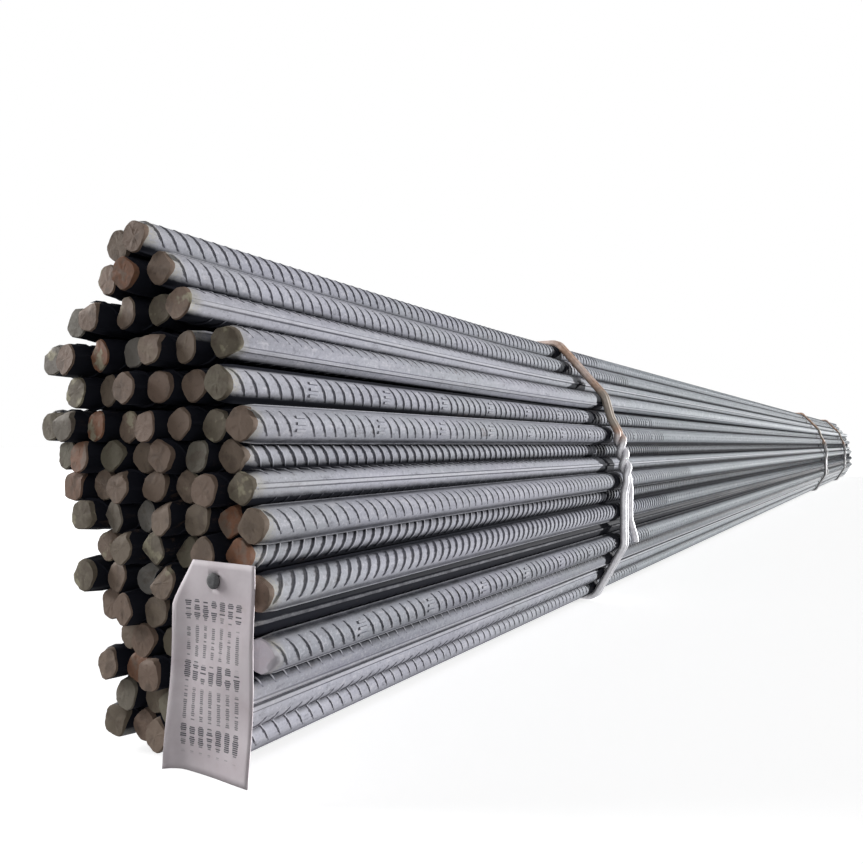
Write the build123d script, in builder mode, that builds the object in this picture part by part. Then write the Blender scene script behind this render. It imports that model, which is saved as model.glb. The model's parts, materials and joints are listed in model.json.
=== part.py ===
"""Bundle of straight ribbed steel reinforcing bars, 25 mm nominal and 6 m long, tied with doubled wire.

Millimetres, +Z up. X runs along the bars, with the tagged end at -X and the knots of the ties at -Y.
The origin is under the middle of the bundle, on the floor that its ties rest on.
"""

import os
from math import hypot

from build123d import *

# Bars: nominal diameter, stock length and the play left between neighbours
bar_diameter = 25.0
bar_length = 6000.0
bar_play = 0.6

# Section of the bundle, one entry for each layer from the bottom one up: its number of bars and how far
# its first bar lies towards -Y, in bar spacings from a line through the bundle
layer_counts = [5, 5, 6, 6, 6, 7, 6, 7, 7, 7, 8, 6, 7, 5, 3, 2]
layer_fronts = [1.5, 2, 2.5, 3, 2.5, 3, 2.5, 3, 2.5, 2, 2.5, 1.75, 1.95, 0.8, 0, -0.65]

# Bar ends: how far the bars at the top and back run ahead at the tagged end, and how unevenly bars lie
end_lean = 35.0
end_stagger = 9.0
stagger_step = 0.618

# Ties: wire, play on the bars, and the twisted knot
wire_diameter = 8.0
wire_play = 0.3
strand_play = 0.6
knot_height = 190.0
knot_turns = 1.5
knot_pitch = 40.0
knot_lap = 3.0
tail_length = 60.0
tail_spread = 18.0

# Places of the ties: one from the tagged end and two from the plain end
near_tie_distance = 745.0
middle_tie_distance = 2100.0
far_tie_distance = 800.0

# Tag and the stud that it hangs from, with the stud's bar given by its layer and its number from the front,
# and the stud's place on the bar's end given by its rise above the axis and its shift towards -Y
tag_width = 72.0
tag_height = 140.0
tag_thickness = 0.8
tag_corner = 4.0
tag_hole_drop = 12.5
tag_play = 0.5
stud_layer = 5
stud_number = 1
stud_rise = 7.0
stud_shift = 3.0
stud_diameter = 5.0
stud_head_diameter = 11.0
stud_head_thickness = 3.0
stud_head_round = 1.5
stud_play = 0.4

# Spacing of the bars
bar_radius = bar_diameter / 2
bar_spacing = bar_diameter + bar_play
wire_radius = wire_diameter / 2
strand_offset = (wire_diameter + strand_play) / 2
lowest_bar_height = wire_diameter + wire_play + bar_radius


# Places across the bundle, in bar spacings from the middle of its width
layer_backs = [front - count + 1 for front, count in zip(layer_fronts, layer_counts)]
middle_place = (max(layer_fronts) + min(layer_backs)) / 2
bundle_width = (max(layer_fronts) - min(layer_backs)) * bar_spacing


class Bar:
    """One bar: its centre across the bundle and where its tagged end lies."""

    def __init__(self, layer, number, height, order):
        self.layer = layer
        self.number = number
        self.y = (middle_place - layer_fronts[layer] + number) * bar_spacing
        self.z = height
        upward = layer / (len(layer_counts) - 1)
        backward = self.y / bundle_width + 0.5
        uneven = 2 * (order * stagger_step % 1) - 1
        self.end = end_stagger * uneven - end_lean * upward * backward


# Each layer lies in the gaps of the one below, or rides up on its bars where it is shifted less
bars = []
layer_height = lowest_bar_height
for layer, count in enumerate(layer_counts):
    if layer > 0:
        shift = layer_fronts[layer] - layer_fronts[layer - 1]
        layer_height += bar_spacing * (1 - (shift - round(shift)) ** 2) ** 0.5
    for number in range(count):
        bars.append(Bar(layer, number, layer_height, len(bars)))

# The bundle is centred lengthwise on the ends that stand out furthest
middle_end = (min(bar.end for bar in bars) + max(bar.end for bar in bars)) / 2
for bar in bars:
    bar.end += -bar_length / 2 - middle_end


def tie_corners(reach):
    """Corners of the tight loop around the bars, at a distance from the centres of the outermost bars."""
    least_turn = 0.001
    centres = sorted((bar.y, bar.z) for bar in bars)

    def half_loop(points):
        loop = []
        for point in points:
            while len(loop) > 1 and turn(loop[-2], loop[-1], point) <= least_turn:
                loop.pop()
            loop.append(point)
        return loop[:-1]

    def turn(a, b, c):
        return (b[0] - a[0]) * (c[1] - a[1]) - (b[1] - a[1]) * (c[0] - a[0])

    loop = half_loop(centres) + half_loop(centres[::-1])
    corners = []
    for before, here, after in zip(loop[-1:] + loop[:-1], loop, loop[1:] + loop[:1]):
        n1 = outward(before, here)
        n2 = outward(here, after)
        share = reach / (1 + n1[0] * n2[0] + n1[1] * n2[1])
        corners.append((here[0] + share * (n1[0] + n2[0]), here[1] + share * (n1[1] + n2[1])))
    return corners


def outward(a, b):
    """Unit normal that points out of the loop, which runs anticlockwise."""
    length = hypot(b[0] - a[0], b[1] - a[1])
    return ((b[1] - a[1]) / length, (a[0] - b[0]) / length)


os.makedirs("parts", exist_ok=True)

# Bars, one node for each layer
for layer in range(len(layer_counts)):
    with BuildPart() as bar_layer:
        for bar in bars:
            if bar.layer == layer:
                with BuildSketch(Plane.YZ.offset(bar.end)):
                    with Locations((bar.y, bar.z)):
                        Circle(bar_radius)
                extrude(amount=bar_length)
    bar_layer.part.label = f"bar_layer_{layer + 1:02d}"
    export_step(bar_layer.part, f"parts/bar_layer_{layer + 1:02d}.step")

# Ties: two strands side by side around the bars, twisted together on a straight run at -Y
bend_radius = bar_radius + wire_play + wire_radius
corners = tie_corners(bend_radius)
runs = list(zip(corners, corners[1:] + corners[:1]))
front_runs = [run for run in runs if run[0][1] > run[1][1]]
knot_run = min(front_runs, key=lambda run: abs((run[0][1] + run[1][1]) / 2 - knot_height))
first = corners.index(knot_run[1])
route = corners[first:] + corners[:first]
knot_length = knot_turns * knot_pitch
knot_normal = outward(*knot_run)
knot_way = (-knot_normal[1], knot_normal[0])
tail_bend = knot_run[1]
tail_normal = outward(tail_bend, route[1])
tail_way = (-tail_normal[1], tail_normal[0])
tail_end = (tail_bend[0] + tail_length * tail_way[0], tail_bend[1] + tail_length * tail_way[1])


def along_knot(distance):
    """Point on the knot's axis, which clears the bars, at a distance below the knot's middle."""
    middle_y = (knot_run[0][0] + knot_run[1][0]) / 2
    middle_z = (knot_run[0][1] + knot_run[1][1]) / 2
    return (
        middle_y + distance * knot_way[0] + strand_offset * knot_normal[0],
        middle_z + distance * knot_way[1] + strand_offset * knot_normal[1],
    )


tie_places = {
    "near": -bar_length / 2 + near_tie_distance,
    "middle": bar_length / 2 - middle_tie_distance,
    "far": bar_length / 2 - far_tie_distance,
}
for tie_name, tie_x in tie_places.items():
    knot_top = (tie_x, *along_knot(-knot_length / 2))
    tail_x = tie_x + 3 * strand_offset
    tail_points = [
        Vector(tie_x + strand_offset, *along_knot(knot_length / 2)),
        Vector(tail_x, *tail_bend),
        Vector(tail_x + tail_spread, *tail_end),
    ]
    turned_helix = Helix(knot_pitch, knot_length, strand_offset)
    with BuildPart() as tie_wire:
        for side in (-1, 1):
            # Strand around the bundle, from the knot's lower end to its upper end
            with BuildLine(Plane.YZ.offset(tie_x + side * strand_offset)) as strand:
                FilletPolyline(
                    along_knot(knot_length / 2 - knot_lap),
                    *route,
                    along_knot(-knot_length / 2 + knot_lap),
                    radius=bend_radius,
                )
            with BuildSketch(Plane(strand.line @ 0, z_dir=strand.line % 0)):
                Circle(wire_radius)
            sweep(path=strand.line)
            # The same strand through the knot
            knot_plane = Plane(knot_top, x_dir=(side, 0, 0), z_dir=(0, *knot_way))
            with BuildLine() as twist:
                add(knot_plane * turned_helix)
            with BuildSketch(Plane(twist.line @ 0, z_dir=twist.line % 0)):
                Circle(wire_radius)
            sweep(path=twist.line, is_frenet=True)
        # Cut end of the wire, from the lower end of the knot down beside the strands, rounded at its bend
        for tail_from, tail_to in zip(tail_points, tail_points[1:]):
            tail_run = tail_to - tail_from
            with BuildSketch(Plane(tail_from, z_dir=tail_run)):
                Circle(wire_radius)
            extrude(amount=tail_run.length)
        with Locations(tail_points[1]):
            Sphere(wire_radius)
    tie_wire.part.label = f"tie_wire_{tie_name}"
    export_step(tie_wire.part, f"parts/tie_wire_{tie_name}.step")

# Tag, hung flat before the bar ends at the lower front corner
stud_bar = next(bar for bar in bars if bar.layer == stud_layer and bar.number == stud_number)
stud_y = stud_bar.y - stud_shift
stud_z = stud_bar.z + stud_rise
tag_top = stud_z + tag_hole_drop
tag_middle = tag_top - tag_height / 2
behind_tag = [
    bar.end
    for bar in bars
    if abs(bar.y - stud_y) < tag_width / 2 + bar_radius
    and abs(bar.z - tag_middle) < tag_height / 2 + bar_radius
]
tag_back = min(behind_tag) - tag_play
with BuildPart() as label_tag:
    with BuildSketch(Plane.YZ.offset(tag_back - tag_thickness)):
        with Locations((stud_y, tag_middle)):
            RectangleRounded(tag_width, tag_height, tag_corner)
        with Locations((stud_y, stud_z)):
            Circle(stud_diameter / 2 + stud_play, mode=Mode.SUBTRACT)
    extrude(amount=tag_thickness)
label_tag.part.label = "label_tag"
export_step(label_tag.part, "parts/label_tag.step")

# Stud, welded to the end of its bar, with its head over the tag
head_back = tag_back - tag_thickness - stud_play
with BuildPart() as tag_stud:
    with BuildSketch(Plane.YZ.offset(head_back)):
        with Locations((stud_y, stud_z)):
            Circle(stud_diameter / 2)
    extrude(amount=stud_bar.end - head_back)
    with BuildSketch(Plane.YZ.offset(head_back - stud_head_thickness)):
        with Locations((stud_y, stud_z)):
            Circle(stud_head_diameter / 2)
    extrude(amount=stud_head_thickness)
    fillet(tag_stud.edges().group_by(Axis.X)[0], stud_head_round)
tag_stud.part.label = "tag_stud"
export_step(tag_stud.part, "parts/tag_stud.step")
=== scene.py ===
"""Looks of a bundle of straight ribbed reinforcing bars, tied with doubled wire, with a label tag at one end.

Metres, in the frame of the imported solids: X runs along the bars, with the tagged end at -X, and +Z is up.
Angles around a bar are measured from -Y, the side of the bundle that has the knots, and grow upwards.
"""

import json
from math import cos, pi, radians, sin, tan, tau

import bmesh
import bpy
import numpy as np
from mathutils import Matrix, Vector

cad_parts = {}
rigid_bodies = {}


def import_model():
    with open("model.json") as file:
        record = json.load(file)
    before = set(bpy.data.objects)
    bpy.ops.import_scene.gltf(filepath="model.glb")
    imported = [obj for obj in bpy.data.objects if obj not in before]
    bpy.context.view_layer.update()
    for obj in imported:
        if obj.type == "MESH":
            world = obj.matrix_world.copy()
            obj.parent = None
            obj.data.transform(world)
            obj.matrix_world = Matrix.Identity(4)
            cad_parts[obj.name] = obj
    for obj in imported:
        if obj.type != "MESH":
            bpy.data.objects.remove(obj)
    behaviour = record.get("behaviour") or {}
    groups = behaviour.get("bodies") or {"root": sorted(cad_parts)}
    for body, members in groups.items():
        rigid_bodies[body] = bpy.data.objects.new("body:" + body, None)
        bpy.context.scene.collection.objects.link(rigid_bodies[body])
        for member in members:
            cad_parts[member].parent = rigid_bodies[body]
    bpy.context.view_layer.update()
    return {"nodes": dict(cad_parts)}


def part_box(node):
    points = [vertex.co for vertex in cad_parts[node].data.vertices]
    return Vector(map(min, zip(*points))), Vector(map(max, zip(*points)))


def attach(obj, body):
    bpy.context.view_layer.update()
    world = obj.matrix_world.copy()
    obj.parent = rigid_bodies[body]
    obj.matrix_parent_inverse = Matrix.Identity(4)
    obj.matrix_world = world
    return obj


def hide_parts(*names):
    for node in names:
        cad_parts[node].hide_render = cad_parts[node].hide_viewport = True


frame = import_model()
mm = 0.001

# Bars: a round core with two ribs along it and two rows of crescent ribs across it
core_radius = 12.0 * mm
edge_rib_height = 1.6 * mm
edge_rib_crest = 1.8 * mm
edge_rib_base = 4.6 * mm
cross_rib_height = 1.6 * mm
far_rib_height = 1.3 * mm
cross_rib_crest = 1.1 * mm
cross_rib_base = 3.0 * mm
cross_rib_sunk = 0.5 * mm
cross_rib_swell = 0.9
cross_rib_reach = radians(66)
cross_rib_slant = 0.62
cross_rib_pitch = 12.5 * mm
first_rib_inset = 13.0 * mm
arc_sides = 12
sharp_edge = radians(34)

# The first bar of each layer, from the bottom layer up: angle of its lower edge rib in degrees, height of its
# crescent ribs in millimetres, tone from dark to pale, and a factor on its openness, which sets its painted
# shade
front_turns = [-80, 20, -40, -85, 0, -70, -85, -75, 8, -80, -86, -88, -25, 4, -84, -70]
front_rib_heights = [0.9, 1.2, 0.9, 1.2, 1.6, 1.6, 1.6, 1.0, 1.2, 1.6, 1.1, 1.25, 0.9, 1.2, 1.1, 1.3]
front_tones = [1.0, 0.6, 0.1, 0.2, 0.3, 0.5, 0.5, 0.5, 0.9, 0.6, 0.6, 0.5, 0.8, 1.0, 0.6, 0.3]
front_shades = [1, 1, 0.78, 0.95, 0.42, 0.93, 0.93, 0.93, 0.95, 1, 1.15, 1.45, 1.55, 1.6, 1.5, 1.3]

# Layers, counted from 0 at the bottom, whose first bar has its crescent ribs the other way round, has roll
# marks, or has a bright cut end
left_handed_fronts = {5, 6}
marked_fronts = {3, 10, 11}
fresh_cut_fronts = {3}

# The other bars: range of the crescent ribs' height in millimetres, and the share that has roll marks
rib_heights = (1.1, 1.6)
marked_share = 0.3

# How far the first free end of each layer has sprung up and back before the near tie, in millimetres, the
# share of the rise that each bar behind has less, and the play of every end from the loose layer up
layer_rises = [0, 0, 0, 0, 0, 0, 0, 0, 0, 0, 0, 4, 7, 9, 9, 9]
layer_slips = [0, 0, 0, 0, 0, 0, 0, 0, 0, 0, 0, -3, 6, 3, -2, 0]
front_slips = {5: -8, 7: -3, 10: -6, 11: -4}
layer_ease = 0.2
loose_layer = 6
end_play = 1.2
bend_rings = 7
straight_end = 100 * mm

# Rows of ribs that show are whole, with finer ribs up to an uneven distance from the tagged end, and a row
# shows where enough of its side is open. The other rows have ribs only near the bar ends.
fine_length = 0.9
fine_spread = (0.9, 1.3)
turned_back = -0.3
hidden_row_length = 0.16
row_half_width = radians(65)
least_open_share = 0.1

# Roll marks: three raised dashes in the place of one rib out of mark_interval, mark_reach apart in radians
mark_interval = 8
mark_height = 1.3 * mm
mark_length = 10.0 * mm
mark_width = 3.0 * mm
mark_taper = 0.6
mark_reach = 0.40
mark_crest = 0.8

# Sheared bar ends: four flats around the rim, and a face that is tilted, has a facet broken off it and is
# rolled over on the side where the shear came in. The angles of the flats and of the shear are in degrees
# from the lower edge rib, those of the facet from the shear, and pairs are ranges of a random value.
end_flats = (52, 128, -52, -128)
end_flat_play = 10
end_flat_depths = (0.86, 0.97)
end_face_rings = (0.36, 0.70, 0.93)
end_shears = (50, 130)
end_tilt_shares = (0.1, 1.0)
end_facets = (-60, 60)
end_facet_starts = (0.45, 1.3)
end_bevel = 1.2 * mm
end_roll_over = 2.6 * mm
end_neck = 14.0 * mm
end_rib_height = 0.3 * mm
end_wear = 16.0 * mm
end_tilt = radians(9)
end_roughness = 0.25 * mm
end_facet_slope = tan(radians(48))

# Ties: doubled wire, its knot and the cut tail below the knot. The wire's centre lies wire_reach beyond the
# bars' nominal radius, and a tie's middle wire_inset from the tagged side of its solid's box.
wire_radius = 4.8 * mm
wire_reach = 4.3 * mm
wire_inset = 8.3 * mm
strand_offset = 4.9 * mm
strand_wobble = 0.9 * mm
wobble_rate = 31.0
wobble_shift = 5.0
knot_height = 190 * mm
knot_length = 60 * mm
knot_turns = 1.5
knot_ease = 30 * mm
tail_length = 98 * mm
tail_straight = 0.6
tail_rise = 2 * mm
tail_spread = 20 * mm
wire_step = 2.5 * mm

# Painted shadow of the ties: bars darkened under a tie and beside it, mostly on the side of the tagged end
tie_shadow_width = 22 * mm
tie_shadow_shift = 11 * mm

# Tag: how its sheet bends, its cut corner and its hole
tag_bulge = 5 * mm
tag_wave = 0.8 * mm
tag_curl = 7 * mm
tag_curl_share = 0.2
tag_corner_cut = 15 * mm
tag_corner_share = 0.22
tag_hole_radius = 4.5 * mm
tag_columns = 20
tag_rows = 32

# Print on the tag: columns of dashes, counted from the tag's left and top edges. Every block of dashes has a
# thin stretch, a space and a bold stretch, and there is a space between blocks.
print_column = 7.8 * mm
print_dash = 1.3 * mm
print_columns = (1.0, 8.0)
print_start = (18.0, 19.0)
print_end = (99.0, 97.0)
print_block = 32.0
block_dashes = (2.0, 30.5)
block_space = (18.0, 20.0)
bold_dashes = (21.0, 29.0)

# Where the finishes and the painted shade change: each pair is the start and the end of a fade along one axis
far_bars_x = (-2.6, -1.8)
darker_wire_x = (-1.0, 0.0)
rusty_wire_z = (0.205, 0.260)
grey_wire_bottom_z = (0.248, 0.264)
grey_wire_top_z = (0.322, 0.304)
white_floor_y = (0.4, 1.6)

# Stage: half the floor's width, light from the surroundings, and the camera
floor_half_width = 40.0
sky_strength = 0.11
picture_width = 863
focal_length = 775
camera_place = (-3.3616, -0.4666, 0.229)
camera_aim = 31.69
camera_rise = 0.92

random = np.random.default_rng(25)


class Link:
    """A socket of a node tree. Arithmetic on it adds Math nodes to the tree."""

    def __init__(self, tree, socket=None):
        self.tree = tree
        self.socket = socket

    def node(self, kind, settings=None, inputs=None, output=0):
        """Adds a node, with its settings first and then the values or links of its inputs."""
        made = self.tree.nodes.new(kind)
        for name, value in (settings or {}).items():
            setattr(made, name, value)
        for name, value in (inputs or {}).items():
            for item in value if isinstance(value, list) else [value]:
                if isinstance(item, Link):
                    self.tree.links.new(item.socket, made.inputs[name])
                else:
                    made.inputs[name].default_value = item
        return Link(self.tree, made.outputs[output] if len(made.outputs) else None)

    def output(self, name):
        """Another output of the same node."""
        return Link(self.tree, self.socket.node.outputs[name])

    def math(self, operation, *values, clamp=False):
        settings = {"operation": operation, "use_clamp": clamp}
        return self.node("ShaderNodeMath", settings, dict(enumerate(values)))

    def __add__(self, other):
        return self.math("ADD", self, other)

    def __sub__(self, other):
        return self.math("SUBTRACT", self, other)

    def __rsub__(self, other):
        return self.math("SUBTRACT", other, self)

    def __mul__(self, other):
        return self.math("MULTIPLY", self, other)

    def __truediv__(self, other):
        return self.math("DIVIDE", self, other)

    def __mod__(self, other):
        return self.math("FLOORED_MODULO", self, other)

    __radd__ = __add__
    __rmul__ = __mul__

    def __abs__(self):
        return self.math("ABSOLUTE", self)

    def floor(self):
        return self.math("FLOOR", self)

    def clamped(self):
        return self.math("ADD", self, 0.0, clamp=True)

    def step(self, low, high):
        """0 below low, 1 above high, and smooth between; the other way round where low is the larger."""
        return self.node("ShaderNodeMapRange", {"interpolation_type": "SMOOTHSTEP"},
                         {0: self, 1: low, 2: high, 3: 0.0, 4: 1.0})

    def between(self, low, high, soft):
        """1 from low to high and 0 elsewhere, with a soft edge outside both."""
        return self.step(low - soft, low) * self.step(high + soft, high)


class Finish:
    """A material in the making: its tree, its Principled shader and the textures that it reads."""

    def __init__(self, name):
        self.material = bpy.data.materials.new(name)
        self.material.use_nodes = True
        self.tree = self.material.node_tree
        self.shader = self.tree.nodes["Principled BSDF"]
        self.link = Link(self.tree)
        self.place = self.link.node("ShaderNodeTexCoord", output="Object")

    def axis(self, name):
        """One of the object coordinates, X, Y or Z."""
        return self.link.node("ShaderNodeSeparateXYZ", {}, {0: self.place}, output=name)

    def noise(self, scale, detail=3.0, roughness=0.55, stretch=(1, 1, 1)):
        """Noise with its grain stretched along the axes whose factor is small."""
        spread = self.link.node("ShaderNodeMapping", {}, {"Vector": self.place, "Scale": stretch})
        return self.link.node("ShaderNodeTexNoise", {},
                              {"Vector": spread, "Scale": scale, "Detail": detail, "Roughness": roughness})

    def attribute(self, name):
        return self.link.node("ShaderNodeAttribute", {"attribute_name": name}, output="Fac")

    def mix(self, share, first, second):
        """Colours mixed by a share from 0 to 1."""
        shades = [shade if isinstance(shade, Link) else (*shade, 1.0) for shade in (first, second)]
        inputs = {0: share, 6: shades[0], 7: shades[1]}
        return self.link.node("ShaderNodeMix", {"data_type": "RGBA"}, inputs, output=2)

    def bump(self, height, distance, strength):
        inputs = {"Height": height, "Distance": distance, "Strength": strength}
        return self.link.node("ShaderNodeBump", {}, inputs)

    def set(self, **values):
        """Sets or links inputs of the shader, named with underscores for spaces."""
        for name, value in values.items():
            socket = self.shader.inputs[name.replace("_", " ")]
            if isinstance(value, Link):
                self.tree.links.new(value.socket, socket)
            else:
                socket.default_value = value
        return self.material


def mill_scale():
    """Rolled steel weathered to pale grey, with painted blue-black shade where bars cover each other and by
    ties.
    """
    finish = Finish("mill_scale_steel")
    tone = finish.attribute("tone")
    crest = finish.attribute("crest")
    end = finish.attribute("end")
    streaks = finish.noise(60.0, 5.0, 0.6, (0.06, 1, 1))
    cloud = finish.noise(11.0, stretch=(0.5, 1, 1))
    flakes = finish.noise(150.0, 5.0, 0.75, (0.5, 1, 1))
    specks = finish.noise(420.0, 2.0)
    along = finish.axis("X")
    far = along.step(*far_bars_x)
    # Painted shade from how covered the side is, more towards the far end, plus painted shadows by the ties
    unshaded_share = finish.attribute("unshaded_share") + 0.35 * (flakes - 0.5) + 0.2 * crest - 0.13 * far
    # Painted shadow of each tie: a dark band, mostly on the side of the tagged end
    for place in tie_places:
        beside = abs(along - place + tie_shadow_shift).step(tie_shadow_width, 0.5 * tie_shadow_width)
        unshaded_share = unshaded_share - (1.30 - 0.93 * far) * beside
    unshaded_share = unshaded_share.step(0.38, 0.80)
    # Weathered scale, paler or darker from bar to bar, and darker and more teal towards the far end
    base = finish.mix(streaks.step(0.34, 0.66), (0.345, 0.35, 0.41), (0.54, 0.545, 0.62))
    base = finish.mix(cloud.step(0.40, 0.64) * 0.6, base, (0.40, 0.435, 0.455))
    base = finish.mix((1 - tone) * 0.4, base, (0.26, 0.26, 0.31))
    base = finish.mix(tone * 0.3, base, (0.62, 0.615, 0.68))
    base = finish.mix(far * 0.7, base, (0.315, 0.36, 0.38))
    # Dark and pale flakes and specks
    dark_flakes = flakes.step(0.54, 0.70)
    base = finish.mix(dark_flakes * 0.55, base, (0.15, 0.15, 0.18))
    base = finish.mix(specks.step(0.56, 0.72) * 0.35, base, (0.17, 0.17, 0.20))
    base = finish.mix(specks.step(0.44, 0.30) * 0.35, base, (0.74, 0.73, 0.76))
    base = finish.mix(flakes.step(0.46, 0.32) * 0.6, base, (0.68, 0.67, 0.72))
    # Rib crests paler, partly wear and partly painted highlight, and painted shade at the rib roots
    rib_root_shade = crest.step(0.03, 0.20) * crest.step(0.85, 0.55)
    base = finish.mix(crest.step(0.55, 1.0) * 0.4, base, (0.64, 0.64, 0.68))
    base = finish.mix(rib_root_shade * 0.7, base, (0.10, 0.10, 0.125))
    # Painted blue-black shade where a side is covered, light rust, and wear at the bar ends
    base = finish.mix(unshaded_share, (0.013, 0.014, 0.020), base)
    base = finish.mix(dark_flakes * cloud.step(0.52, 0.66) * 0.3, base, (0.26, 0.17, 0.12))
    base = finish.mix(end * unshaded_share * specks.step(0.32, 0.50) * 0.9, base, (0.70, 0.67, 0.58))
    grain = finish.bump(flakes, 0.25 * mm, 0.5)
    return finish.set(Base_Color=base, Roughness=0.62 + 0.2 * streaks, Specular_IOR_Level=0.06, Normal=grain)


def sheared_steel():
    """Cut ends: dark brown-grey broken steel, rusty or olive by bar, bright if fresh, with wear and painted
    glints.
    """
    finish = Finish("sheared_end_steel")
    tone = finish.attribute("tone")
    hue = finish.attribute("hue")
    grain = finish.noise(320.0, 5.0, 0.65)
    stains = finish.noise(75.0)
    grey_ends = hue.step(0.42, 0.30) * hue.step(0.16, 0.28)
    rusty_ends = hue.step(0.86, 0.93) * stains.step(0.34, 0.52)
    # Pale spots on pale ends: partly wear, partly painted glints
    pale_wear_and_glints = tone.step(0.72, 0.80) * stains.step(0.46, 0.36)
    fresh_ends = hue.step(1.0, 1.1)
    base = finish.mix(hue.step(0.20, 0.70), (0.165, 0.148, 0.108), (0.215, 0.150, 0.115))
    base = finish.mix(grey_ends, base, (0.215, 0.205, 0.190))
    base = finish.mix(tone * 0.4, base, (0.255, 0.205, 0.160))
    base = finish.mix(rusty_ends * 0.9, base, (0.24, 0.105, 0.055))
    base = finish.mix(pale_wear_and_glints * 0.8, base, (0.46, 0.42, 0.30))
    base = finish.mix(stains.step(0.50, 0.66) * 0.55, base, (0.095, 0.070, 0.052))
    base = finish.mix(grain.step(0.60, 0.74) * 0.4, base, (0.05, 0.04, 0.033))
    base = finish.mix(fresh_ends * 0.8, base, (0.58, 0.59, 0.64))
    rough = finish.bump(grain, 0.5 * mm, 0.7)
    return finish.set(Base_Color=base, Roughness=0.58 + 0.25 * grain, Specular_IOR_Level=0.3, Normal=rough)


def drawn_wire():
    """Tie wire: pale drawn steel on the lower part, rust with a grey stretch on the upper part."""
    finish = Finish("tie_wire_steel")
    patches = finish.noise(16.0)
    fine = finish.noise(160.0, 4.0, 0.65)
    height = finish.axis("Z") + 0.03 * (patches - 0.5)
    upper = (height + 0.06 * (patches - 0.5)).step(*rusty_wire_z)
    rust = (upper * (0.6 + 0.7 * patches.step(0.38, 0.62))).clamped()
    grey_stretch = height.step(*grey_wire_bottom_z) * height.step(*grey_wire_top_z)
    tan_rust = finish.mix(fine.step(0.38, 0.66), (0.58, 0.33, 0.20), (0.80, 0.55, 0.40))
    base = finish.mix(fine.step(0.35, 0.65), (0.62, 0.615, 0.645), (0.76, 0.755, 0.78))
    # Darker towards the far end
    base = finish.mix(finish.axis("X").step(*darker_wire_x) * 0.6, base, (0.24, 0.235, 0.23))
    base = finish.mix(rust * 0.85, base, tan_rust)
    base = finish.mix(grey_stretch * 0.7, base, (0.41, 0.405, 0.365))
    base = finish.mix(fine.step(0.62, 0.76) * 0.5, base, (0.20, 0.17, 0.145))
    drawn = finish.bump(fine, 0.3 * mm, 0.45)
    return finish.set(Base_Color=base, Metallic=0.6 - 0.45 * rust, Roughness=0.58 + 0.12 * rust, Normal=drawn)


def label_stock(left, top):
    """Soiled white label with columns of plain dashes; left and top are the label's own edges."""
    finish = Finish("label_stock")
    column = (left - finish.axis("Y")) / print_column
    down = (top - finish.axis("Z")) / print_dash
    cell = finish.link.node("ShaderNodeCombineXYZ", {}, {0: column.floor(), 1: down.floor()})
    chance = finish.link.node("ShaderNodeTexWhiteNoise", {"noise_dimensions": "3D"}, {"Vector": cell})
    in_block = down % print_block
    bold = in_block.between(*bold_dashes, 1.0)
    printed = in_block.between(*block_dashes, 1.0) * (1 - in_block.between(*block_space, 0.5))
    half_width = (0.20 + 0.13 * bold) * (0.65 + 0.45 * chance)
    stroke = (half_width - abs(column % 1.0 - 0.5)).step(-0.03, 0.03)
    dash = (down % 1.0).between(0.22, 0.78, 0.14)
    field = column.between(*print_columns, 0.1) * down.step(*print_start) * down.step(*print_end)
    ink = stroke * dash * chance.step(0.10, 0.28) * printed * field
    dirt = finish.noise(30.0, 4.0, 0.6)
    fibre = finish.noise(600.0, 2.0)
    base = finish.mix(dirt.step(0.35, 0.70), (0.92, 0.845, 0.885), (0.78, 0.695, 0.735))
    base = finish.mix(dirt.step(0.62, 0.74) * 0.35, base, (0.55, 0.47, 0.42))
    base = finish.mix(ink * (0.65 + 0.35 * bold + 0.2 * fibre).clamped(), base, (0.06, 0.055, 0.07))
    return finish.set(Base_Color=base, Roughness=0.62, Normal=finish.bump(fibre, 0.05 * mm, 0.3))


def stud_steel():
    """Dull grey stud head with pitted scale."""
    finish = Finish("stud_steel")
    pits = finish.noise(700.0, 4.0, 0.65)
    base = finish.mix(pits.step(0.36, 0.66), (0.075, 0.075, 0.08), (0.13, 0.13, 0.135))
    return finish.set(Base_Color=base, Roughness=0.7, Normal=finish.bump(pits, 0.3 * mm, 0.4))


tie_names = ("near", "middle", "far")
tie_places = [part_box(f"tie_wire_{name}")[0].x + wire_inset for name in tie_names]
mill_scale_steel = mill_scale()
sheared_end_steel = sheared_steel()


def new_piece(name, mesh):
    """Links a mesh to the scene as an object at the origin."""
    piece = bpy.data.objects.new(name, mesh)
    bpy.context.scene.collection.objects.link(piece)
    return piece


def plain_mesh(piece):
    """The piece's evaluated mesh, as a mesh of its own; the piece itself is removed."""
    graph = bpy.context.evaluated_depsgraph_get()
    mesh = bpy.data.meshes.new_from_object(piece.evaluated_get(graph), depsgraph=graph)
    bpy.data.objects.remove(piece)
    return mesh


def set_values(mesh, name, values, kind="FLOAT"):
    """Stores one number for each vertex."""
    layer = mesh.attributes.new(name, kind, "POINT")
    layer.data.foreach_set("value", values)


def smooth(mesh):
    """Smooth shading, with the edges of ribs and cuts kept sharp."""
    mesh.shade_smooth()
    mesh.set_sharp_from_angle(angle=sharp_edge)


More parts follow.
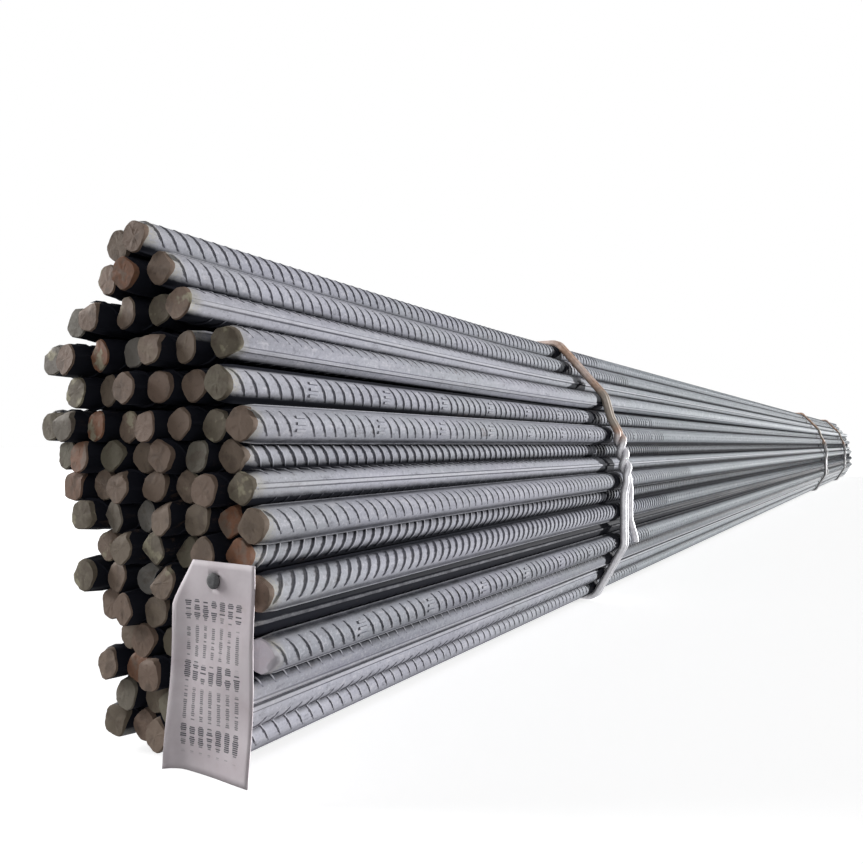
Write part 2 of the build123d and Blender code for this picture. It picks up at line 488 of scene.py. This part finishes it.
class Bar:
    """One bar, read from its solid: centre across the bundle, both ends, and how it is turned."""

    def __init__(self, low, high, layer, number):
        self.start = low[0]
        self.finish = high[0]
        self.y = (low[1] + high[1]) / 2
        self.z = (low[2] + high[2]) / 2
        self.radius = (high[2] - low[2]) / 2
        self.tone = random.random()
        self.hue = random.random()
        self.turn = radians(random.uniform(-90, 90))
        self.hands = (1, -1)
        self.marked = random.random() < marked_share
        self.rib_height = random.uniform(*rib_heights) * mm
        play = end_play * random.uniform(-1, 1, 2) * (layer >= loose_layer)
        rise = layer_rises[layer] * max(0.0, 1 - layer_ease * number)
        self.sprung = (np.array((layer_slips[layer], rise)) + play) * mm
        self.shade = 1.0
        if number == 0:
            self.rib_height = front_rib_heights[layer] * mm
            self.tone = front_tones[layer]
            if layer in fresh_cut_fronts:
                self.hue += 1
            self.shade = front_shades[layer]
            self.sprung[0] += front_slips.get(layer, 0) * mm
            self.turn = radians(front_turns[layer])
            upper = -1 if layer in left_handed_fronts else 1
            self.hands = (upper, -upper)
            self.marked = layer in marked_fronts

    def ring(self, x, angles, radii):
        """Points around the bar."""
        return np.column_stack([x, self.y - np.cos(angles) * radii, self.z + np.sin(angles) * radii])


def read_bars(layer, node):
    """The bars of a layer, from the one towards -Y to the one towards +Y."""
    points = np.array([vertex.co for vertex in frame["nodes"][node].data.vertices])
    reach = 1.01 * np.ptp(points[:, 2])
    found = []
    while len(points):
        mine = points[:, 1] < points[:, 1].min() + reach
        found.append(Bar(points[mine].min(0), points[mine].max(0), layer, len(found)))
        points = points[~mine]
    return found


# Each side of a bar looks out in a fan of directions, and what lies within a share of another bar's radius is
# covered. Upper sides count as a little more open than lower ones.
open_angles = np.linspace(-pi, pi, 49)
view_angles = np.radians(np.arange(-70, 71, 14))
cover_share = 0.96
upper_side_share = 0.1


def open_share(bar):
    """Share of the surroundings that each side of a bar sees past the other bars, all around it."""
    others = np.array([(other.y - bar.y, other.z - bar.z) for other in all_bars if other is not bar])
    shares = []
    for angle in open_angles:
        ways = angle + view_angles
        starts = others - bar.radius * np.array((-cos(angle), sin(angle)))
        along = starts @ np.array((-np.cos(ways), np.sin(ways)))
        across = starts @ np.array((np.sin(ways), np.cos(ways)))
        covered = np.any((along > 0) & (np.abs(across) < cover_share * bar.radius), axis=0)
        shares.append(1 - covered.mean())
    return shares


layer_nodes = sorted(name for name in frame["nodes"] if name.startswith("bar_layer"))
layers = [read_bars(layer, node) for layer, node in enumerate(layer_nodes)]
all_bars = [bar for bars in layers for bar in bars]
for bar in all_bars:
    # Openness of each side, scaled by the bar's factor and a little raised on upper sides; it sets the
    # painted shade
    bar.open_shares = np.array(open_share(bar)) * bar.shade * (1 + upper_side_share * np.sin(open_angles))
bend_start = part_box("tie_wire_near")[0].x


def bar_section(turn):
    """Angles, radii and crest values around a bar: two edge ribs joined by arcs of the core."""
    angles = []
    radii = []
    crests = []
    half_base = edge_rib_base / 2 / core_radius
    half_crest = edge_rib_crest / 2 / core_radius
    for side in (turn, turn + pi):
        angles += [side - half_crest, side + half_crest]
        angles += list(np.linspace(side + half_base, side + pi - half_base, arc_sides))
        radii += [core_radius + edge_rib_height] * 2 + [core_radius] * arc_sides
        crests += [1.0] * 2 + [0.0] * arc_sides
    return np.array(angles), np.array(radii), crests


def sheared_end(bar, x, way, angles, radii):
    """Middle of a sheared end face, and its rings from the middle out to the whole section."""
    shear = bar.turn + radians(random.uniform(*end_shears))
    facet = shear + radians(random.uniform(*end_facets))
    facet_start = core_radius * random.uniform(*end_facet_starts)
    tilt = tan(end_tilt * random.uniform(*end_tilt_shares))
    cut = np.minimum(radii, core_radius + end_rib_height)
    for flat in end_flats:
        flat_turn = radians(flat + random.uniform(-end_flat_play, end_flat_play))
        facing = np.cos(angles - bar.turn - flat_turn)
        depth = core_radius * random.uniform(*end_flat_depths)
        cut = np.minimum(cut, depth / np.maximum(facing, 0.2))

    def face_depth(ring):
        leaning = tilt * (np.cos(angles - shear) * ring + core_radius)
        return leaning + end_facet_slope * np.maximum(0.0, np.cos(angles - facet) * ring - facet_start)

    rolled = end_bevel + end_roll_over * np.maximum(0.0, np.cos(angles - shear)) ** 2
    rings = []
    for share in end_face_rings:
        rough = end_roughness * random.uniform(-1, 1, len(angles))
        rings.append(bar.ring(x - way * (face_depth(cut * share) + rough), angles, cut * share))
    rings.append(bar.ring(x - way * (face_depth(cut) + rolled), angles, cut))
    rings.append(bar.ring(x - way * (0.2 * face_depth(cut) + end_neck), angles, radii))
    return [(x - way * tilt * core_radius, bar.y, bar.z)], rings


def bar_bodies(name, bars):
    """One mesh for the bars of a layer, without their crescent ribs."""
    points = []
    faces = []
    cut_faces = []
    crest_values = []
    cut_bands = len(end_face_rings) + 1
    side_bands = bend_rings + 3
    for bar in bars:
        angles, radii, crests = bar_section(bar.turn)
        sides = len(angles)
        near_middle, near_rings = sheared_end(bar, bar.start, -1, angles, radii)
        far_middle, far_rings = sheared_end(bar, bar.finish, 1, angles, radii)
        bends = np.linspace(bar.start + straight_end, bend_start, bend_rings)
        rings = near_rings + [bar.ring(np.full(sides, x), angles, radii) for x in bends] + far_rings[::-1]
        near = len(crest_values)
        points += [near_middle, *rings, far_middle]
        crest_values += [0.0, *np.tile(crests, len(rings)), 0.0]
        far = len(crest_values) - 1
        for side in range(sides):
            after = (side + 1) % sides
            faces.append((near, near + 1 + side, near + 1 + after))
            for ring in range(len(rings) - 1):
                here = near + 1 + ring * sides
                there = here + sides
                faces.append((here + side, there + side, there + after, here + after))
            faces.append((there + after, there + side, far))
            cut_faces += [1] * cut_bands + [0] * side_bands + [1] * cut_bands
    mesh = bpy.data.meshes.new(name)
    mesh.from_pydata(np.vstack(points).tolist(), [], faces)
    mesh.materials.append(mill_scale_steel)
    mesh.materials.append(sheared_end_steel)
    mesh.polygons.foreach_set("material_index", cut_faces)
    smooth(mesh)
    set_values(mesh, "crest", crest_values)
    return mesh


def cross_rib(name, hand, stations, ridge, height):
    """One crescent rib on the -Y side of a bar along X: a bent bar that thins out to a point at both ends."""
    base = core_radius - cross_rib_sunk
    points = []
    crests = []
    for place in np.linspace(-1, 1, stations + 2):
        angle = place * cross_rib_reach
        swell = max(0.0, 1 - place * place) ** cross_rib_swell
        top = base + (cross_rib_sunk + height) * swell
        half_base = cross_rib_base / 2 * (0.55 + 0.45 * swell)
        crest_shifts = [0.0] if ridge else [-cross_rib_crest / 2, cross_rib_crest / 2]
        crest_line = [(shift, top, swell) for shift in crest_shifts]
        profile = [(-half_base, base, 0.0), *crest_line, (half_base, base, 0.0)]
        if abs(place) == 1:
            profile = [(0.0, base, 0.0)]
        slide = -hand * cross_rib_slant * core_radius * angle
        for shift, radius, crest in profile:
            points.append((slide + shift, -cos(angle) * radius, sin(angle) * radius))
            crests.append(crest)
    sides = 3 if ridge else 4
    last = len(points) - 1
    faces = []
    for side in range(sides):
        after = (side + 1) % sides
        faces.append((0, 1 + after, 1 + side))
        for station in range(stations - 1):
            here = 1 + station * sides
            there = here + sides
            faces.append((here + side, here + after, there + after, there + side))
        faces.append((there + side, there + after, last))
    mesh = bpy.data.meshes.new(name)
    mesh.from_pydata(points, [], faces)
    smooth(mesh)
    set_values(mesh, "crest", crests)
    return bpy.data.objects.new(name, mesh)


def roll_mark(name):
    """Three plain raised dashes along the bar, which stand in a row where a rib is left out."""
    points = []
    faces = []
    for angle in (-mark_reach, 0.0, mark_reach):
        low = len(points)
        for radius, grow in ((core_radius - cross_rib_sunk, 1.0), (core_radius + mark_height, mark_taper)):
            for x, turn in ((-1, -1), (1, -1), (1, 1), (-1, 1)):
                side = angle + turn * grow * mark_width / 2 / core_radius
                reach = x * (mark_length / 2 - (1 - grow) * mark_width / 2)
                points.append((reach, -cos(side) * radius, sin(side) * radius))
        faces += [(low, low + 3, low + 2, low + 1), (low + 4, low + 5, low + 6, low + 7)]
        for side in range(4):
            after = (side + 1) % 4
            faces.append((low + side, low + after, low + 4 + after, low + 4 + side))
    mesh = bpy.data.meshes.new(name)
    mesh.from_pydata(points, [], faces)
    set_values(mesh, "crest", ([0.0] * 4 + [mark_crest] * 4) * 3)
    return bpy.data.objects.new(name, mesh)


# The shapes are picked by number, in the order of their names
fine_right, fine_left, far_right, far_left, plain_mark = range(5)
rib_shapes = bpy.data.collections.new("rib_shapes")
for shape in (
    cross_rib("rib_0_fine_right", 1, 5, False, cross_rib_height),
    cross_rib("rib_1_fine_left", -1, 5, False, cross_rib_height),
    cross_rib("rib_2_far_right", 1, 3, True, far_rib_height),
    cross_rib("rib_3_far_left", -1, 3, True, far_rib_height),
    roll_mark("rib_4_mark"),
):
    rib_shapes.objects.link(shape)


def rib_tree():
    """Node tree that sets a rib shape at each step of every row, and joins the ribs to the bars."""
    tree = bpy.data.node_groups.new("crescent_ribs", "GeometryNodeTree")
    for name, kind in (
        ("Bars", "NodeSocketGeometry"),
        ("Rows", "NodeSocketObject"),
        ("Rib shapes", "NodeSocketCollection"),
        ("Pitch", "NodeSocketFloat"),
        ("Mark interval", "NodeSocketInt"),
        ("Mark shape", "NodeSocketInt"),
        ("Rib finish", "NodeSocketMaterial"),
    ):
        tree.interface.new_socket(name, in_out="INPUT", socket_type=kind)
    tree.interface.new_socket("Ribbed bars", in_out="OUTPUT", socket_type="NodeSocketGeometry")
    link = Link(tree)
    given = link.node("NodeGroupInput")

    def stored(name, kind="FLOAT"):
        return link.node("GeometryNodeInputNamedAttribute", {"data_type": kind}, {"Name": name})

    rows = link.node("GeometryNodeObjectInfo", {}, {"Object": given.output("Rows")}, output="Geometry")
    copies = link.node("GeometryNodeDuplicateElements", {"domain": "POINT"},
                       {"Geometry": rows, "Amount": stored("rib_count", "INT")})
    number = copies.output("Duplicate Index")
    step = link.node("ShaderNodeCombineXYZ", {}, {0: number * given.output("Pitch")})
    placed = link.node("GeometryNodeSetPosition", {}, {"Geometry": copies, "Offset": step})
    count = (number + stored("mark_start")) % given.output("Mark interval")
    is_mark = count.math("LESS_THAN", count, 0.5) * stored("marked")
    shape = stored("rib_shape") * (1 - is_mark) + given.output("Mark shape") * is_mark
    turn = link.node("ShaderNodeCombineXYZ", {}, {0: stored("rib_turn")})
    scale = stored("rib_scale")
    shapes = link.node("GeometryNodeCollectionInfo", {}, {
        "Collection": given.output("Rib shapes"),
        "Separate Children": True,
        "Reset Children": True,
    })
    ribs = link.node("GeometryNodeInstanceOnPoints", {}, {
        "Points": placed,
        "Instance": shapes,
        "Pick Instance": True,
        "Instance Index": shape,
        "Rotation": link.node("FunctionNodeEulerToRotation", {}, {0: turn}),
        "Scale": link.node("ShaderNodeCombineXYZ", {}, {0: 1.0, 1: scale, 2: scale}),
    })
    solid = link.node("GeometryNodeRealizeInstances", {}, {"Geometry": ribs})
    finished = link.node("GeometryNodeSetMaterial", {},
                         {"Geometry": solid, "Material": given.output("Rib finish")})
    joined = link.node("GeometryNodeJoinGeometry", {}, {0: [given.output("Bars"), finished]})
    link.node("NodeGroupOutput", {}, {0: joined})
    return tree


def row_shows(bar, middle):
    """Whether a row of ribs can be seen from outside, between the other bars."""
    nearby = np.cos(open_angles - middle) > cos(row_half_width)
    return bar.open_shares[nearby].max() > least_open_share


def rib_rows(name, bars):
    """Start of each row of ribs, with how many ribs it has and what they are like."""
    starts = []
    counts = []
    values = {"rib_turn": [], "rib_shape": [], "rib_scale": [], "mark_start": [], "marked": []}

    def add_row(bar, x, count, middle, shape, mark_start, marked):
        starts.append((x, bar.y, bar.z))
        counts.append(count)
        values["rib_turn"].append(-middle)
        values["rib_shape"].append(shape)
        values["rib_scale"].append((core_radius + bar.rib_height) / (core_radius + cross_rib_height))
        values["mark_start"].append(mark_start)
        values["marked"].append(marked)

    for bar in bars:
        for side, hand in zip((1, -1), bar.hands):
            middle = bar.turn + side * pi / 2
            first = bar.start + first_rib_inset + (0.5 * cross_rib_pitch if side < 0 else 0.0)
            total = int((bar.finish - first_rib_inset - first) / cross_rib_pitch) + 1
            fine, far = (fine_right, far_right) if hand > 0 else (fine_left, far_left)
            mark_start = int(random.integers(mark_interval))
            marked = bar.marked and side > 0
            few = int(hidden_row_length / cross_rib_pitch)
            if row_shows(bar, middle):
                near = few
                if cos(middle) > turned_back:
                    near = int(fine_length * random.uniform(*fine_spread) / cross_rib_pitch)
                add_row(bar, first, near, middle, fine, mark_start, marked)
                add_row(bar, first + near * cross_rib_pitch, total - near, middle, far, 0, False)
            else:
                add_row(bar, first, few, middle, fine, 0, False)
                add_row(bar, first + (total - few) * cross_rib_pitch, few, middle, far, 0, False)
    mesh = bpy.data.meshes.new(name)
    mesh.from_pydata(starts, [], [])
    for key, numbers in values.items():
        set_values(mesh, key, numbers)
    set_values(mesh, "rib_count", counts, "INT")
    return bpy.data.objects.new(name, mesh)


def finish_bars(mesh, bars):
    """Bends the free ends, and stores each vertex's tones, how open its side is and how near an end it is."""
    points = np.empty(3 * len(mesh.vertices))
    mesh.vertices.foreach_get("co", points)
    points = points.reshape(-1, 3)
    x, y, z = points.T.copy()
    owner = np.abs(y[:, None] - np.array([bar.y for bar in bars])).argmin(axis=1)
    for name in ("tone", "hue"):
        set_values(mesh, name, np.array([getattr(bar, name) for bar in bars])[owner])
    unshaded_share = np.empty(len(x))
    end = np.empty(len(x))
    for number, bar in enumerate(bars):
        mine = owner == number
        angles = np.arctan2(z[mine] - bar.z, bar.y - y[mine])
        unshaded_share[mine] = np.interp(angles, open_angles, bar.open_shares)
        end[mine] = 1 - np.clip(np.minimum(x[mine] - bar.start, bar.finish - x[mine]) / end_wear, 0, 1)
        free = np.clip((bend_start - x[mine]) / (bend_start - bar.start), 0, None)
        points[mine, 1:] += np.outer(free * free * (3 - free) / 2, bar.sprung)
    mesh.vertices.foreach_set("co", points.ravel())
    # How open each vertex's side is, which the bar finish turns into painted shade
    set_values(mesh, "unshaded_share", unshaded_share)
    set_values(mesh, "end", end)


crescent_ribs = rib_tree()


def ribbed_bars(layer, node, bars):
    """The bars of a layer with their ribs, as one piece that stands for the layer's node."""
    name = f"ribbed_bars_{layer + 1:02d}"
    bodies = new_piece(name + "_bodies", bar_bodies(name + "_bodies", bars))
    ribs = bodies.modifiers.new("ribs", "NODES")
    ribs.node_group = crescent_ribs
    values = {
        "Rows": rib_rows(name + "_rows", bars),
        "Rib shapes": rib_shapes,
        "Pitch": cross_rib_pitch,
        "Mark interval": mark_interval,
        "Mark shape": plain_mark,
        "Rib finish": mill_scale_steel,
    }
    for socket in crescent_ribs.interface.items_tree:
        if socket.name in values:
            ribs[socket.identifier] = values[socket.name]
    piece = new_piece(name, plain_mesh(bodies))
    finish_bars(piece.data, bars)
    bpy.data.objects.remove(values["Rows"])
    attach(piece, "root")
    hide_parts(node)


for layer, (node, bars) in enumerate(zip(layer_nodes, layers)):
    ribbed_bars(layer, node, bars)
for shape in list(rib_shapes.objects):
    bpy.data.objects.remove(shape)


def outer_bars():
    """Centres of the bars at the corners of the tight loop around the bundle, in the order of the loop."""
    centres = sorted((bar.y, bar.z) for bar in all_bars)
    least_turn = mm * mm * mm

    def turn(a, b, c):
        return (b[0] - a[0]) * (c[1] - a[1]) - (b[1] - a[1]) * (c[0] - a[0])

    def half_loop(points):
        loop = []
        for point in points:
            while len(loop) > 1 and turn(loop[-2], loop[-1], point) <= least_turn:
                loop.pop()
            loop.append(point)
        return loop[:-1]

    return half_loop(centres) + half_loop(centres[::-1])


class TieLoop:
    """The line that the wire follows around the bars, by distance below the middle of its knot."""

    def __init__(self, reach, arc_points=8):
        corners = outer_bars()
        points = []
        ways = []
        for before, here, after in zip(corners[-1:] + corners[:-1], corners, corners[1:] + corners[:1]):
            start = np.arctan2(before[0] - here[0], here[1] - before[1])
            finish = np.arctan2(here[0] - after[0], after[1] - here[1])
            for angle in np.linspace(start, start + (finish - start) % tau, arc_points):
                ways.append((cos(angle), sin(angle)))
                points.append((here[0] + reach * cos(angle), here[1] + reach * sin(angle)))
        points.append(points[0])
        ways.append(ways[0])
        self.points = np.array(points)
        self.ways = np.array(ways)
        runs = np.diff(self.points, axis=0)
        self.distances = np.concatenate([[0.0], np.cumsum(np.hypot(*runs.T))])
        self.length = self.distances[-1]
        middles = (self.points[1:, 1] + self.points[:-1, 1]) / 2
        downward = (runs[:, 1] < 0) & (np.hypot(*runs.T) > 2 * reach)
        best = min(np.flatnonzero(downward), key=lambda run: abs(middles[run] - knot_height))
        self.distances -= (self.distances[best] + self.distances[best + 1]) / 2

    def at(self, distance):
        """Point on the line and the way out of the bundle there, in Y and Z."""
        def read(values):
            columns = [np.interp(distance, self.distances, column, period=self.length) for column in values.T]
            return np.array(columns)

        way = read(self.ways)
        return read(self.points), way / np.hypot(*way)


tie_loop = TieLoop(all_bars[0].radius + wire_reach)


def ease(value):
    """0 to 1, smoothly."""
    share = min(1.0, max(0.0, value))
    return share * share * (3 - 2 * share)


def strand_point(tie_x, distance, lap):
    """Centre of the wire at a distance below the knot, on its first or second lap around the bars."""
    twist = lap + min(1.0, max(0.0, distance / knot_length + 0.5))
    angle = twist * knot_turns * tau
    lift = 1 - ease((abs(distance) - knot_length / 2) / knot_ease)
    point, way = tie_loop.at(distance)
    out = strand_offset * (lift + sin(angle))
    wobble = strand_wobble * sin(distance * wobble_rate + tie_x * wobble_shift) * (1 - lift)
    return (tie_x + strand_offset * cos(angle) + wobble, *(point + out * way))


def tail_point(tie_x, distance):
    """Centre of the cut tail, which runs down beside the strands and then stands away from them."""
    share = (distance - knot_length / 2) / tail_length
    point, way = tie_loop.at(distance)
    spread = ease((share - tail_straight) / (1 - tail_straight))
    lift = strand_offset * (1 - 0.3 * ease(share * 2)) + tail_rise * spread
    aside = strand_offset * (1 + 1.9 * ease(share * 4)) + tail_spread * spread
    return (tie_x + aside, *(point + lift * way))


def wire(curve, points, cyclic):
    """Adds a wire along a row of points to a curve."""
    spline = curve.splines.new("POLY")
    spline.points.add(len(points) - 1)
    spline.points.foreach_set("co", [value for point in points for value in (*point, 1.0)])
    spline.use_cyclic_u = cyclic


def tie_wire(name, node, tie_x, finish):
    """A tie: one wire that goes around the bars twice and is twisted with itself, and its cut tail."""
    curve = bpy.data.curves.new(name, "CURVE")
    curve.dimensions = "3D"
    curve.bevel_depth = wire_radius
    curve.bevel_resolution = 3
    curve.use_fill_caps = True
    half = tie_loop.length / 2
    steps = np.arange(-half, half, wire_step)
    wire(curve, [strand_point(tie_x, distance, lap) for lap in (0, 1) for distance in steps], True)
    tail = np.arange(knot_length / 2 - 2 * wire_step, knot_length / 2 + tail_length, wire_step)
    wire(curve, [tail_point(tie_x, distance) for distance in tail], False)
    mesh = plain_mesh(new_piece(name + "_curve", curve))
    for vertex in mesh.vertices:
        vertex.co.z = max(vertex.co.z, 0.0)
    mesh.materials.clear()
    mesh.materials.append(finish)
    mesh.shade_smooth()
    piece = new_piece(name, mesh)
    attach(piece, "root")
    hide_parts(node)


tie_wire_finish = drawn_wire()
for name, place in zip(tie_names, tie_places):
    tie_wire(f"tie_{name}", f"tie_wire_{name}", place, tie_wire_finish)


def label_tag():
    """The tag's sheet, bent off the bar ends and curled along its edge, with a hole for the stud."""
    low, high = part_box("label_tag")
    stud_low, stud_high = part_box("tag_stud")
    stud = (stud_low + stud_high) / 2
    width = high.y - low.y
    height = high.z - low.z
    sheet = bmesh.new()

    def bent(y, z):
        across = (high.y - y) / width
        down = (high.z - z) / height
        curl = tag_curl * max(0.0, 1 - across / tag_curl_share) ** 2 * (0.35 + 0.65 * down)
        wave = tag_wave * sin(9 * down + 5 * across)
        bulge = tag_bulge * down * down + wave * ease(down * 4)
        return Vector((low.x - bulge - curl, y, z))

    grid = []
    for row in range(tag_rows + 1):
        down = row / tag_rows
        left = high.y - tag_corner_cut * max(0.0, 1 - down / tag_corner_share) ** 1.3
        line = np.linspace(left, low.y, tag_columns + 1)
        grid.append([sheet.verts.new(bent(y, high.z - height * down)) for y in line])
    for upper, lower in zip(grid, grid[1:]):
        for column in range(tag_columns):
            sheet.faces.new((upper[column], lower[column], lower[column + 1], upper[column + 1]))
    hole = [face for face in sheet.faces if (face.calc_center_median() - stud).yz.length < tag_hole_radius]
    bmesh.ops.delete(sheet, geom=hole, context="FACES")
    mesh = bpy.data.meshes.new("label_tag_sheet")
    sheet.to_mesh(mesh)
    sheet.free()
    mesh.shade_smooth()
    mesh.materials.append(label_stock(high.y, high.z))
    piece = new_piece("label_sheet_flat", mesh)
    thick = piece.modifiers.new("thickness", "SOLIDIFY")
    thick.thickness = high.x - low.x
    thick.offset = -1.0
    tag = new_piece("label_sheet", plain_mesh(piece))
    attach(tag, "root")
    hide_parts("label_tag")


label_tag()


def turned_stud():
    """The stud: a shank from the bar end, a domed head and a small dimple in it."""
    low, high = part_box("tag_stud")
    radius = (high.y - low.y) / 2
    head = 3.0 * mm
    # Shares of the head's radius, from its middle outwards, and depths below the top of the head
    profile = [(0.0, 0.5 * mm), (0.25, 0.1 * mm), (0.55, 0.15 * mm), (0.82, 0.6 * mm), (0.97, 1.5 * mm),
               (1.0, 2.4 * mm), (0.94, head), (0.46, head), (0.45, high.x - low.x)]
    sides = 28
    points = [(low.x + profile[0][1], 0.0, 0.0)]
    faces = []
    for share, depth in profile[1:]:
        for side in range(sides):
            angle = tau * side / sides
            points.append((low.x + depth, -cos(angle) * share * radius, sin(angle) * share * radius))
    points.append((high.x, 0.0, 0.0))
    for side in range(sides):
        after = (side + 1) % sides
        faces.append((0, 1 + side, 1 + after))
        for ring in range(len(profile) - 2):
            here = 1 + ring * sides
            there = here + sides
            faces.append((here + side, there + side, there + after, here + after))
        faces.append((there + after, there + side, len(points) - 1))
    middle_y = (low.y + high.y) / 2
    middle_z = (low.z + high.z) / 2
    mesh = bpy.data.meshes.new("stud")
    mesh.from_pydata([(x, y + middle_y, z + middle_z) for x, y, z in points], [], faces)
    smooth(mesh)
    mesh.materials.append(stud_steel())
    piece = new_piece("stud", mesh)
    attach(piece, "root")
    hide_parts("tag_stud")


turned_stud()


def seen_directly(link):
    """1 for rays that show the surroundings themselves, and 0 for rays that bring their light."""
    path = link.node("ShaderNodeLightPath", output="Is Camera Ray")
    return (path + path.output("Is Glossy Ray") + path.output("Is Transmission Ray")).clamped()


def floor():
    """Pale floor that keeps a soft shadow and turns white away from the bundle."""
    mesh = bpy.data.meshes.new("floor")
    half = floor_half_width
    corners = [(-half, -half, 0), (half, -half, 0), (half, half, 0), (-half, half, 0)]
    mesh.from_pydata(corners, [], [(0, 1, 2, 3)])
    finish = Finish("floor_white")
    away = abs(finish.axis("Y"))
    seen = seen_directly(finish.link)
    glow = finish.mix(away.step(*white_floor_y), (0.74, 0.74, 0.74), (1, 1, 1))
    pale = finish.mix(seen, (0.1, 0.1, 0.1), (0.8, 0.8, 0.8))
    finish.set(Base_Color=pale, Roughness=1.0, Specular_IOR_Level=0.0, Emission_Strength=1.0,
               Emission_Color=finish.mix(seen, (0, 0, 0), glow))
    mesh.materials.append(finish.material)
    new_piece("floor", mesh)


floor()


def lamp(name, strength, softness, source):
    """A distant lamp with soft edges to its shadows, from a direction."""
    light = bpy.data.lights.new(name, "SUN")
    light.energy = strength
    light.angle = radians(softness)
    holder = bpy.data.objects.new(name, light)
    holder.rotation_mode = "QUATERNION"
    holder.rotation_quaternion = Vector(source).to_track_quat("Z", "Y")
    bpy.context.scene.collection.objects.link(holder)


def studio():
    """White surroundings that give little light, a key lamp from the far right and two soft lamps."""
    world = bpy.data.worlds.new("studio")
    bpy.context.scene.world = world
    world.use_nodes = True
    sky = world.node_tree.nodes["Background"]
    sky.inputs["Color"].default_value = (1, 1, 1, 1)
    strength = sky_strength + (1 - sky_strength) * seen_directly(Link(world.node_tree))
    world.node_tree.links.new(strength.socket, sky.inputs["Strength"])
    lamp("key", 5.0, 3, (0.885, -0.46, 0.07))
    lamp("back", 2.7, 30, (-0.27, 0.88, 0.39))
    lamp("front", 0.6, 40, (-0.82, -0.53, 0.20))


studio()


def camera():
    """Camera at the near end, a little above the middle of the bundle's height, looking along the bars."""
    view = bpy.data.cameras.new("camera")
    view.sensor_fit = "HORIZONTAL"
    view.lens = view.sensor_width * focal_length / picture_width
    eye = bpy.data.objects.new("camera", view)
    eye.location = camera_place
    aim = radians(camera_aim)
    rise = radians(camera_rise)
    forward = Vector((cos(aim) * cos(rise), sin(aim) * cos(rise), sin(rise)))
    eye.rotation_mode = "QUATERNION"
    eye.rotation_quaternion = forward.to_track_quat("-Z", "Y")
    bpy.context.scene.collection.objects.link(eye)
    bpy.context.scene.camera = eye


camera()
bpy.context.scene.view_settings.view_transform = "Standard"
